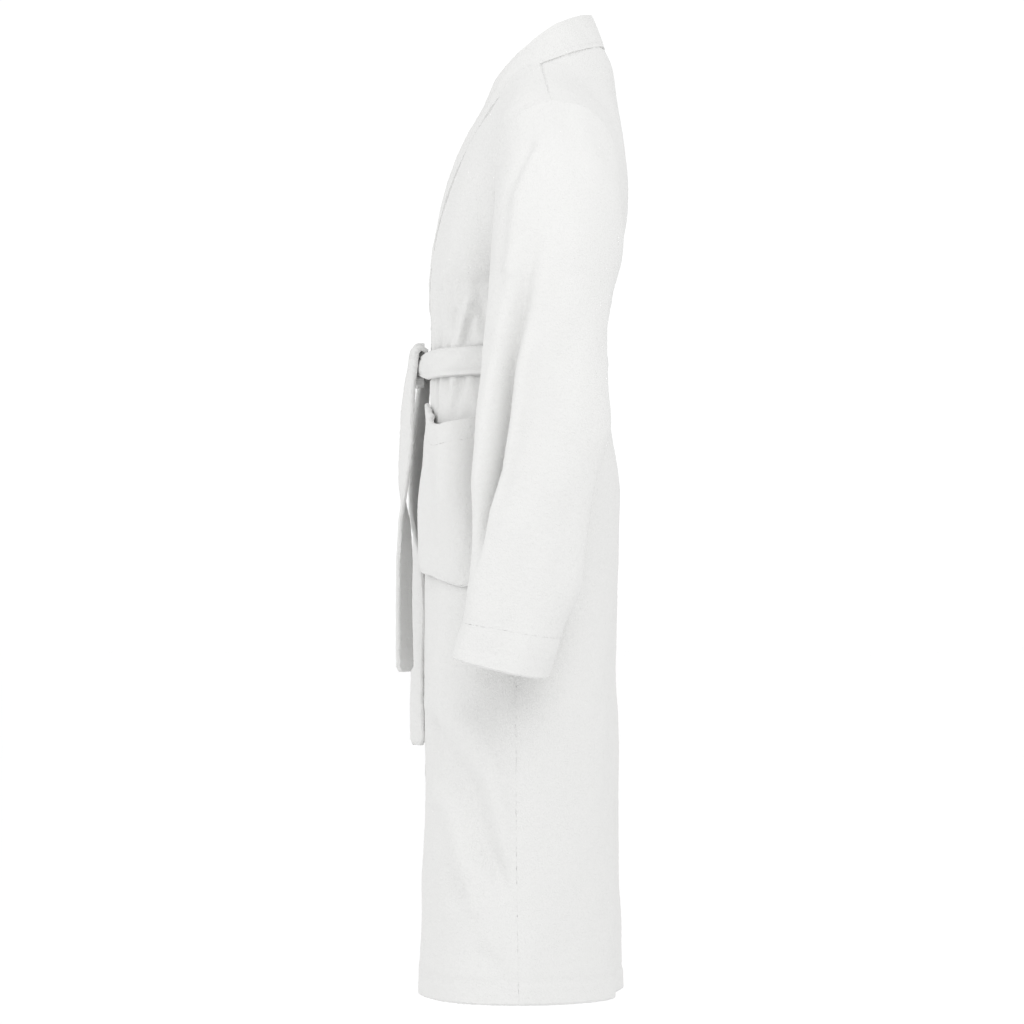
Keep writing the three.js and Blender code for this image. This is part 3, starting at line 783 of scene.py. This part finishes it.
class BATHROBE_OT_belt(bpy.types.Operator):
    """Builds the belt, its knot and its two hanging ends"""

    bl_idname = "bathrobe.belt"
    bl_label = "Belt"

    def execute(self, context):
        sizes = context.scene.bathrobe
        self.waist(sizes)
        self.knot(sizes)
        self.tails(sizes)
        return {"FINISHED"}

    def waist(self, sizes):
        line = waist_line(340)
        rows = np.linspace(0, 1, 17)[:, None]
        grid = np.broadcast_to(line, (17, *line.shape)).copy()
        droop = -0.004 * smooth(-line[:, 1] / 0.12) * smooth(1.2 - np.abs(line[:, 0]) / 0.2)
        pinch = 1 - 0.38 * bump(line[:, 0], 0.034) * (line[:, 1] < 0)
        middle, high = (BELT[0] + BELT[1]) / 2, BELT[1] - BELT[0] - 0.001
        grid[..., 2] = middle + high * (rows - 0.5) * pinch + droop
        lift = 3.5 * MM + sizes.band
        lift = lift + waves(grid, 0.09, 151, 0.4) * 0.0008 + waves(grid, 0.035, 152, 0.35) * 0.0005
        lift = lift + 0.009 * bump(line[:, 0] - 0.006, 0.030) * (line[:, 1] < 0)
        lift = lift + 0.0012 * np.sin(np.pi * rows)
        lift = lift - 0.0010 * bump(rows - 0.16, 0.05) - 0.0010 * bump(rows - 0.84, 0.05)
        mesh = fuzz(cloth(grid, lift, sizes.band, wrap=True, rounds=(0.45, 0.45)), sizes.pile, 21)
        piece = make_piece("belt_cloth", mesh, terry(), ["waist_belt"])

    def knot(self, sizes):
        wrap = spline((-0.005, -0.1230, 0.7745), (-0.006, -0.1315, 0.7735), (-0.008, -0.1355, 0.7830),
                      (-0.010, -0.1365, 0.7950), (-0.012, -0.1355, 0.8060), (-0.013, -0.1310, 0.8140),
                      (-0.014, -0.1220, 0.8140))(np.linspace(0, 1, 90))
        across = np.tile((1.0, 0.0, 0.35), (90, 1))

        def pleats(g):
            return 0.0016 * np.sin(np.linspace(-7.5, 7.5, g.shape[1]))[None, :] + waves(g, 0.02, 161) * 0.0006

        mesh = ribbon(wrap, across, 0.033, 6 * MM, cols=26, lift=pleats, seed=23)
        piece = make_piece("knot_cloth", mesh, terry(), ["belt_knot"])

    def tails(self, sizes):
        short = spline((0.008, -0.1210, 0.8125), (0.010, -0.1280, 0.8165), (0.012, -0.1330, 0.8140),
                       (0.013, -0.1352, 0.8055), (0.014, -0.1366, 0.7920), (0.015, -0.1390, 0.7800),
                       (0.016, -0.1415, 0.7620), (0.017, -0.1438, 0.7380), (0.018, -0.1444, 0.7130),
                       (0.018, -0.1450, 0.6800), (0.019, -0.1465, 0.6400), (0.019, -0.1460, 0.5980),
                       (0.020, -0.1466, 0.5470), (0.020, -0.1484, 0.4800), (0.020, -0.1484, 0.4040))
        long = spline((-0.014, -0.1215, 0.7980), (-0.020, -0.1235, 0.7900), (-0.024, -0.1238, 0.7780),
                      (-0.026, -0.1260, 0.7600), (-0.028, -0.1282, 0.7380), (-0.030, -0.1318, 0.7000),
                      (-0.031, -0.1338, 0.6700), (-0.032, -0.1362, 0.6360), (-0.033, -0.1362, 0.5980),
                      (-0.033, -0.1335, 0.5470), (-0.033, -0.1313, 0.4800), (-0.034, -0.1310, 0.4000),
                      (-0.034, -0.1310, 0.3080))
        heights = (0.50, 0.547, 0.598, 0.636, 0.674, 0.738, 0.800)
        for name, body, line, turns, seed, node, flat in (
                ("short_tail_cloth", "short_tail", short, (-0.44, -0.42, -0.25, 0.12, 0.28, 0.36, 0.30), 25,
                 "belt_tail_left", (0.042, 0.43)),
                ("long_tail_cloth", "long_tail", long, (0.42, 0.32, -0.20, -0.30, -0.36, -0.44, -0.41), 27,
                 "belt_tail_right", (0.042, 0.50))):
            points = line(np.linspace(1, 0, 150))
            turn = np.interp(points[:, 2], heights, turns)
            turn = turn + 0.03 * np.sin(points[:, 2] * 21 + seed)
            across = np.stack([np.cos(turn), np.sin(turn), 0 * turn], -1)
            end = np.clip(1 - (points[:, 2] - points[0, 2]) / 0.009, 0, 1)
            corners = 0.018 * (1 - np.sqrt(1 - end**2))
            narrow = 0.024 + 0.018 * smooth((0.80 - points[:, 2]) / 0.13) - corners
            ripple = lambda g: waves(g, 0.12, 171 + seed, 2.5) * 0.0014 + self.strap_relief(g, seed)
            mesh = ribbon(points, across, narrow[:, None], 5.5 * MM, cols=20, lift=ripple, seed=seed)
            piece = make_piece(name, mesh, terry(), [node], body=None)
            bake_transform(piece)

    def strap_relief(self, grid, seed):
        """A crown with a stitched groove along both long edges and across the hanging end."""
        c = np.linspace(0, 1, grid.shape[1])[None, :]
        end = grid[..., 2] - grid[..., 2].min()
        edges = -0.0010 * (bump(c - 0.13, 0.05) + bump(c - 0.87, 0.05))
        return edges - 0.0010 * bump(end - 0.016, 0.002) + 0.0008 * np.sin(np.pi * c)


class BATHROBE_OT_trims(bpy.types.Operator):
    """Builds the belt loops, the hanger loop and the blank labels"""

    bl_idname = "bathrobe.trims"
    bl_label = "Loops and Labels"

    def execute(self, context):
        self.belt_loops()
        self.hanger_loop()
        self.labels()
        return {"FINISHED"}

    def belt_loops(self):
        for side, sign in (("left", 1), ("right", -1)):
            path = spline((0.1885, 0.007, 0.751), (0.1835, 0.008, 0.765), (0.1865, 0.009, 0.776),
                          (0.1868, 0.009, 0.798), (0.1865, 0.009, 0.820), (0.1800, 0.011, 0.832),
                          (0.1815, 0.013, 0.845))(np.linspace(0, 1, 70))
            across = np.tile((0.0, 1.0, 0.0), (70, 1))
            mesh = ribbon(path * (sign, 1, 1), across, 0.012, 2.4 * MM, cols=8, flip=sign < 0, seed=29)
            piece = make_piece(f"{side}_belt_loop_cloth", mesh, terry(),
                               [f"{side}_belt_loop"])

    def hanger_loop(self):
        low, high, half, round_off = 1.158, 1.197, 0.023, 0.006
        path = spline((-half, 0.096, high), (-half, 0.096, 1.180), (-half, 0.096, low + round_off),
                      (-half + 0.002, 0.096, low + 0.002), (-half + round_off, 0.096, low), (0, 0.096, low),
                      (half - round_off, 0.096, low), (half - 0.002, 0.096, low + 0.002),
                      (half, 0.096, low + round_off), (half, 0.096, 1.180), (half, 0.096, high))
        points = path(np.linspace(0, 1, 160))
        across = np.tile((0.0, 1.0, 0.0), (160, 1))
        mesh = ribbon(points, across, 0.010, 1.8 * MM, cols=8, seed=33)
        piece = make_piece("hanger_tape", mesh, tape(), ["hanger_loop"], body="hanging_loop")

    def labels(self):
        x = np.linspace(-0.022, 0.022, 45)
        z = np.linspace(1.123, 1.147, 25)[:, None]
        neck = np.stack(np.broadcast_arrays(x[None, :], 0.1120 - 0.3 * x[None, :] ** 2, z), -1)
        mesh = cloth(neck, 0.0, 1.0 * MM)
        piece = make_piece("neck_label_tape", mesh, tape(), ["neck_label"])
        y = np.linspace(-0.008, 0.024, 33)
        z = np.linspace(0.396, 0.444, 41)[:, None]
        care = np.stack(np.broadcast_arrays(0.219 + 0.5 * (y[None, :] - 0.008) ** 2, y[None, :], z), -1)
        mesh = cloth(care, 0.5 * MM, 1.0 * MM)
        piece = make_piece("care_label_tape", mesh, tape(), ["care_label"])


# ------------------------------------------------------------------ stage

FLOOR_HEX = "#FAFAFA"
FLOOR_Z = -1.55  # the worn robe's hem hangs clear of the floor
SKY_STRENGTH = 1.05
AIM = (0, -0.1182, -0.592)  # the middle of the robe, seen level from its left side
CAMERA_X = 6.5
LENS = 178.5  # millimetres, on a 36 mm sensor


def area_light(name, place, aim, size, power):
    data = bpy.data.lights.new(name, "AREA")
    data.shape = "RECTANGLE"
    data.size, data.size_y = size
    data.energy = power
    light = bpy.data.objects.new(name, data)
    bpy.context.scene.collection.objects.link(light)
    light.location = place
    light.rotation_euler = (Vector(aim) - Vector(place)).to_track_quat("-Z", "Y").to_euler()
    light.visible_camera = False


class BATHROBE_OT_stage(bpy.types.Operator):
    """Builds the white studio: floor, sky, lights and camera"""

    bl_idname = "bathrobe.stage"
    bl_label = "Studio"

    def execute(self, context):
        scene = context.scene
        scene.view_settings.view_transform = "Standard"
        scene.view_settings.look = "None"
        world = bpy.data.worlds.new("studio")
        scene.world = world
        world.use_nodes = True
        world.node_tree.nodes["Background"].inputs["Color"].default_value = (1, 1, 1, 1)
        world.node_tree.nodes["Background"].inputs["Strength"].default_value = SKY_STRENGTH
        bpy.ops.mesh.primitive_plane_add(size=60, location=(0, 0, FLOOR_Z))
        floor = context.object
        floor.name = "studio_floor"
        # Matt emulsion, rolled on: white and without gloss.
        paint = bpy.data.materials.new("floor_paint")
        paint.use_nodes = True
        shader = paint.node_tree.nodes["Principled BSDF"]
        shader.inputs["Base Color"].default_value = linear(FLOOR_HEX)
        shader.inputs["Roughness"].default_value = 0.9
        floor.data.materials.append(paint)
        area_light("side_softbox", (2.1, 0.7, 0.75), (0.25, -0.05, -0.45), (1.5, 1.5), 13)
        area_light("front_softbox", (1.6, -3.0, 0.9), (0.0, -0.15, -0.4), (2.0, 2.0), 16)
        self.camera(scene)
        return {"FINISHED"}

    def camera(self, scene):
        data = bpy.data.cameras.new("camera")
        data.sensor_width = 36
        data.lens = LENS
        camera = bpy.data.objects.new("camera", data)
        scene.collection.objects.link(camera)
        camera.location = (CAMERA_X, *AIM[1:])
        camera.rotation_euler = (Vector(AIM) - camera.location).to_track_quat("-Z", "Y").to_euler()
        scene.camera = camera


class BATHROBE_PT_panel(bpy.types.Panel):
    """Settings and pieces of the bathrobe"""

    bl_idname = "BATHROBE_PT_panel"
    bl_label = "Bathrobe"
    bl_space_type = "VIEW_3D"
    bl_region_type = "UI"
    bl_category = "Bathrobe"

    def draw(self, context):
        for key in BathrobeSettings.__annotations__:
            self.layout.prop(context.scene.bathrobe, key)
        for operator in OPERATORS:
            self.layout.operator(operator.bl_idname)


OPERATORS = (BATHROBE_OT_body, BATHROBE_OT_collar, BATHROBE_OT_sleeves, BATHROBE_OT_pockets,
             BATHROBE_OT_belt, BATHROBE_OT_trims, BATHROBE_OT_stage)
CLASSES = (BathrobeSettings, *OPERATORS, BATHROBE_PT_panel)


def register():
    for cls in CLASSES:
        bpy.utils.register_class(cls)
    bpy.types.Scene.bathrobe = PointerProperty(type=BathrobeSettings)


def unregister():
    del bpy.types.Scene.bathrobe
    for cls in reversed(CLASSES):
        bpy.utils.unregister_class(cls)


def main():
    register()
    for operator in OPERATORS:
        group, name = operator.bl_idname.split(".")
        getattr(getattr(bpy.ops, group), name)()


if __name__ == "__main__":
    main()
